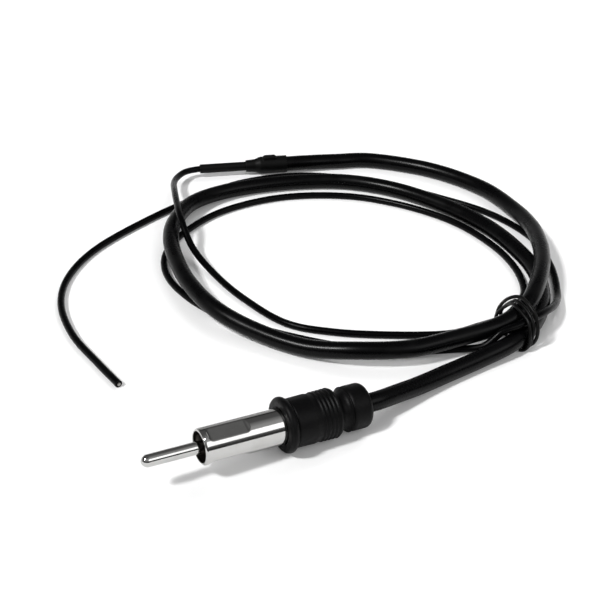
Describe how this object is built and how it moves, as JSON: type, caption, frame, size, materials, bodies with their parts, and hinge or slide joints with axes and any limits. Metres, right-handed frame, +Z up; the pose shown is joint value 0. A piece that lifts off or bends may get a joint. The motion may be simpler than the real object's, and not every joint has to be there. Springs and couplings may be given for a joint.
{
  "type": "marine radio antenna",
  "caption": "Flexible wire radio antenna for a boat: car-aerial type plug in a rubber boot, coaxial lead, sleeved splice and a thin insulated wire, in a loose tied coil",
  "frame": {"origin": "on the floor under the middle of the plug, from pin tip to the boot's rear end", "axes": "+X along the plug towards its lead, +Z up, +Y towards the far side of the coil"},
  "size_m": [0.1615, 0.1552, 0.0146],
  "materials": {
    "nickel_plate": "bright nickel plate with faint turning marks",
    "insulator_black": "black moulded plastic, matt",
    "solder": "dull grey solder",
    "copper_strand": "tinned copper, slightly dulled",
    "polythene": "milky white polythene",
    "boot_rubber": "satin black moulded rubber",
    "vinyl_jacket": "black PVC with a soft gloss",
    "vinyl_wire": "black PVC with a soft gloss",
    "shrink_sleeve": "black heat-shrink sleeve, satin",
    "tie_coating": "black plastic-coated tie wire"
  },
  "bodies": {
    "root": {"centre_pin": "nickel_plate", "pin_insulator": "insulator_black", "plug_sleeve": "nickel_plate", "pin_solder": "solder", "coax_core": "copper_strand", "coax_dielectric": "polythene", "coax_braid": "copper_strand", "crimp_ferrule": "nickel_plate", "plug_boot": "boot_rubber", "coax_cable": "vinyl_jacket", "splice_dielectric": "polythene", "splice_core": "copper_strand", "splice_braid": "copper_strand", "splice_conductor": "copper_strand", "splice_solder": "solder", "splice_sleeve": "shrink_sleeve", "coax_end_sleeve": "shrink_sleeve", "antenna_wire": "vinyl_wire", "wire_core_end": "copper_strand", "twist_tie": "tie_coating"}
  },
  "joints": []
}
